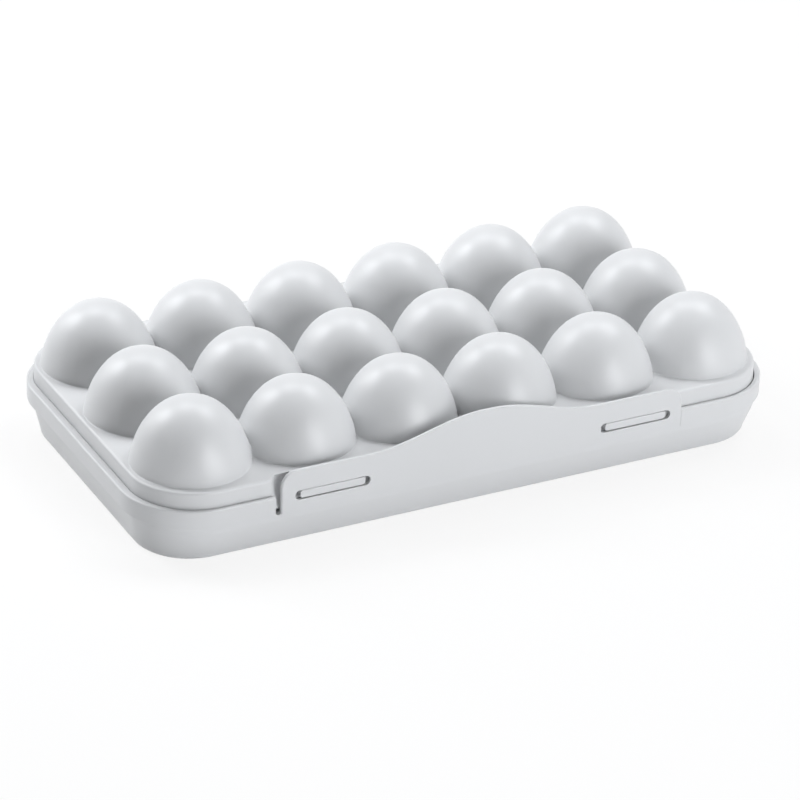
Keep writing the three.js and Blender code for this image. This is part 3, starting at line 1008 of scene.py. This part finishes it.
def makeCatchRibs():
    # Bars on the lid's front wall that fill the tongue's slots: a rounded rectangle of (x, z) carried
    # forward, turned in by a quarter round at its tip, and drawn in to a line at both ends
    slotMiddle, slotZ = slotPlace()
    corner, edge = catch["corner"], catch["edge"]
    turn = quarter(catch["cornerSteps"])
    half = tongue["slotLength"] / 2 - catch["endPlay"] - corner
    rise = tongue["slotHeight"] / 2 - catch["play"] - corner
    tip = front + catch["setback"]
    rootY = rimInsideFront + tongue["recessDepth"] + lid["wall"] / 2
    rings = [(rootY, 0, 0), (rootY, 1, 0), (tip + edge + catch["edgeLead"], 1, 0)]
    rings += [(tip + rest, 1, inset) for inset, rest in quarterRound(edge, catch["edgeSteps"])]
    rings.append((tip, 0, edge))
    parts = []
    for side in (-1, 1):
        middle = tongue["shift"] + catch["shift"] + side * slotMiddle
        loop = np.concatenate([
            np.stack([
                middle + acrossX * half + corner * np.cos(turn + start),
                slotZ + acrossZ * rise + corner * np.sin(turn + start),
            ], -1)
            for acrossX, acrossZ, start in (
                (1, 1, 0), (-1, 1, math.pi / 2), (-1, -1, math.pi), (1, -1, 1.5 * math.pi),
            )
        ])
        rows = []
        for y, share, inset in rings:
            x, z = insetLoop(loop, inset).T
            rows.append(np.column_stack([x, np.full(len(x), y), slotZ + (z - slotZ) * share]))
        points = np.array(rows)
        parts.append((points, gridFaces(*points.shape[:2])))
    return parts


# The pieces are made here, once all their sizes are known
makePiece("baseTray", [makeBase()], greyPlastic, "base", "base_tray")
makePiece("eggCupTray", makeTray(), trayPlastic, "base", "egg_cup_tray")
makePiece("domedLid", makeLid(), greyPlastic, "lid", "domed_lid")
solidPiece(
    "hingeEarsAndPins", makeHingeEars(), hinge["earBevel"], greyPlastic, "base", "base_tray",
)
solidPiece(
    "lidHingeHooks", makeHingeHooks(), hinge["hookBevel"], greyPlastic, "lid", "domed_lid",
)
makePiece("lidCatchRibs", makeCatchRibs(), greyPlastic, "lid", "domed_lid")

tonguePiece = addPiece("latchTongue", makeTongue(), greyPlastic, meshing["sharpAngle"])
keepFlat(tonguePiece, True)
front * mm
front * mm
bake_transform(tonguePiece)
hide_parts("latch_tongue")
print("tongue made")


# The studio: a white floor, broad lamps behind and to the right, and a low fill in front
studio = {
    "floorSize": 30.0,
    "floorDrop": 0.0003,  # below the box, in metres as the floor and lamps are
    "floorColour": 0.82,
    "floorRoughness": 0.9,
    "whiteShare": 0.85,
    "lampDistance": 1.6,
    "lampSize": 0.7,
    "lampColour": (0.984, 1.0, 1.025),
    # azimuth from the front towards the right, elevation, watts
    "lamps": {
        "front": (10, 20, 10.0),
        "low front": (20, 5, 8.0),
        "right": (90, 60, 7.0),
        "back right": (120, 60, 5.9),
        "high back": (180, 60, 7.7),
        "low back": (210, 20, 3.9),
        "back": (220, 40, 13.9),
        "low back left": (230, 20, 1.7),
    },
}


def towards(azimuth, elevation):
    # Unit vector away from the box, by degrees from its front to the right and upwards
    a, e = math.radians(azimuth), math.radians(elevation)
    return Vector((math.sin(a) * math.cos(e), -math.cos(a) * math.cos(e), math.sin(e)))


def seenDirectly(tree):
    # 1 for rays from the camera, off gloss or through something clear, and 0 for those that light
    # matt surfaces
    path = tree.nodes.new("ShaderNodeLightPath")
    camera, glossy, through = (
        Socket(tree, path.outputs[name]) for name in ("Is Camera Ray", "Is Glossy Ray", "Is Transmission Ray")
    )
    return (camera + glossy + through).between(0, 1)


def makeFloor():
    mesh = bpy.data.meshes.new("floor")
    half = studio["floorSize"] / 2
    corners = [(-half, -half, 0), (half, -half, 0), (half, half, 0), (-half, half, 0)]
    mesh.from_pydata(corners, [], [(0, 1, 2, 3)])
    floor = addObject("floor", mesh)
    floor.location.z = -studio["floorDrop"]
    material = bpy.data.materials.new("white floor")
    material.use_nodes = True
    tree = material.node_tree
    shader = tree.nodes["Principled BSDF"]
    shader.inputs["Base Color"].default_value = (*[studio["floorColour"]] * 3, 1)
    shader.inputs["Roughness"].default_value = studio["floorRoughness"]
    # the camera sees mostly plain white, with a share of the real floor and its shadow
    seen = seenDirectly(tree) * studio["whiteShare"]
    white = seen.node("ShaderNodeEmission", {"Color": (1, 1, 1, 1), "Strength": 1.0})
    mixed = seen.node("ShaderNodeMixShader", {0: seen, 1: Socket(tree, shader.outputs["BSDF"]), 2: white})
    tree.links.new(mixed.link, tree.nodes["Material Output"].inputs["Surface"])
    mesh.materials.append(material)


def softLamp(name, azimuth, elevation, power):
    # A round area lamp that looks at the middle of the box
    data = bpy.data.lights.new(name, "AREA")
    data.shape = "DISK"
    data.size = studio["lampSize"]
    data.energy = power
    data.color = studio["lampColour"]
    lamp = addObject(name, data)
    back = towards(azimuth, elevation)
    lamp.location = back * studio["lampDistance"]
    lamp.rotation_mode = "QUATERNION"
    lamp.rotation_quaternion = back.to_track_quat("Z", "Y")


makeFloor()
for lampName, lamp in studio["lamps"].items():
    softLamp(lampName, *lamp)

# White surroundings, which show directly and in gloss and cast no light
world = bpy.data.worlds.new("studio")
bpy.context.scene.world = world
world.use_nodes = True
background = world.node_tree.nodes["Background"]
background.inputs["Color"].default_value = (1, 1, 1, 1)
world.node_tree.links.new(seenDirectly(world.node_tree).link, background.inputs["Strength"])

# The camera that the photograph's proportions fit: a long lens, low and from the left
camera = {
    "azimuth": -28.078,
    "elevation": 27.772,
    "roll": 2.092,
    "distance": 1698.06,
    "focalPixels": 3649.05,
    "imagePixels": 800,
    "sensorWidth": 36,
    "clip": (0.05, 100),
    "target": (13.796, 21.388, 0.0),
}


def makeCamera():
    # It looks at the target from its azimuth and elevation, and is then rolled about its own axis
    data = bpy.data.cameras.new("camera")
    data.sensor_width = camera["sensorWidth"]
    data.lens = camera["focalPixels"] / camera["imagePixels"] * data.sensor_width
    data.clip_start, data.clip_end = camera["clip"]
    viewer = addObject("camera", data)
    back = towards(camera["azimuth"], camera["elevation"])
    roll = math.radians(camera["roll"])
    right = (-back).cross(Vector((0, 0, 1))).normalized()
    up = right.cross(-back)
    tiltedRight = right * math.cos(roll) + up * math.sin(roll)
    tiltedUp = up * math.cos(roll) - right * math.sin(roll)
    turn = Matrix((tiltedRight, tiltedUp, back)).transposed().to_4x4()
    place = (Vector(camera["target"]) + back * camera["distance"]) * mm
    viewer.matrix_world = Matrix.Translation(place) @ turn
    bpy.context.scene.camera = viewer


makeCamera()
bpy.context.scene.view_settings.view_transform = "Standard"
print("studio and camera made")
